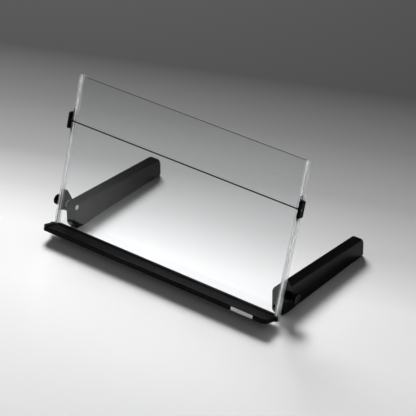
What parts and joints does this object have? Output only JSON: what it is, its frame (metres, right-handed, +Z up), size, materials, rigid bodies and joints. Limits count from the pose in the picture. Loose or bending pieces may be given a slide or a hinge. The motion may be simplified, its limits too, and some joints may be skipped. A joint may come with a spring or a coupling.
{
  "type": "copy holder with line guide",
  "caption": "Desk copy holder with a clear tilting platform, a page ledge, low rear legs with clamp knobs and a taut line guide that slides up and down the rails.",
  "frame": {"origin": "centre of the overall box at desk level", "axes": "+X along the ledge to the user's right, +Y to the rear, +Z up; the user faces the panel from -Y"},
  "size_m": [0.494, 0.2858, 0.2631],
  "materials": {
    "clear_sheet": "clear acrylic",
    "clear_rail": "clear extrusion",
    "black_ledge": "satin",
    "black_bracket": "satin",
    "label": "blank film",
    "elastic": "covered elastic",
    "steel_small": "plain",
    "black_clip": "satin",
    "slider": "smooth nylon",
    "black_leg": "gloss",
    "foot_rubber": "soft",
    "bolt_steel": "zinc plated",
    "washer_plastic": "natural nylon",
    "black_knob": "satin",
    "insert_brass": "turned"
  },
  "bodies": {
    "legs": {"left_leg": "black_leg", "left_leg_feet": "foot_rubber", "left_pivot_bolt": "bolt_steel", "left_friction_washer": "washer_plastic", "right_leg": "black_leg", "right_leg_feet": "foot_rubber", "right_pivot_bolt": "bolt_steel", "right_friction_washer": "washer_plastic"},
    "platform": {"back_panel": "clear_sheet", "ledge": "black_ledge", "label_plate": "label", "left_side_rail": "clear_rail", "left_ledge_end": "black_ledge", "left_tilt_bracket": "black_bracket", "right_side_rail": "clear_rail", "right_ledge_end": "black_ledge", "right_tilt_bracket": "black_bracket"},
    "line_guide": {"guide_line": "elastic", "left_line_ferrule": "steel_small", "left_guide_clip": "black_clip", "left_guide_slider": "slider", "right_line_ferrule": "steel_small", "right_guide_clip": "black_clip", "right_guide_slider": "slider"},
    "left_clamp_knob": {"left_knob": "black_knob", "left_knob_insert": "insert_brass"},
    "right_clamp_knob": {"right_knob": "black_knob", "right_knob_insert": "insert_brass"}
  },
  "joints": [
    {"name": "platform_tilt", "type": "hinge", "parent": "legs", "child": "platform", "pos_m": [0, -0.0805, 0.043], "axis": [-1, 0, 0], "range_deg": [-12, 55]},
    {"name": "guide_slide", "type": "slide", "parent": "platform", "child": "line_guide", "axis": [0, 0.2974, 0.9548], "range_m": [-0.15, 0.052]},
    {"name": "left_knob_turn", "type": "hinge", "parent": "legs", "child": "left_clamp_knob", "pos_m": [0, -0.0805, 0.043], "axis": [-1, 0, 0], "range_deg": [0, 360]},
    {"name": "right_knob_turn", "type": "hinge", "parent": "legs", "child": "right_clamp_knob", "pos_m": [0, -0.0805, 0.043], "axis": [1, 0, 0], "range_deg": [0, 360]}
  ]
}
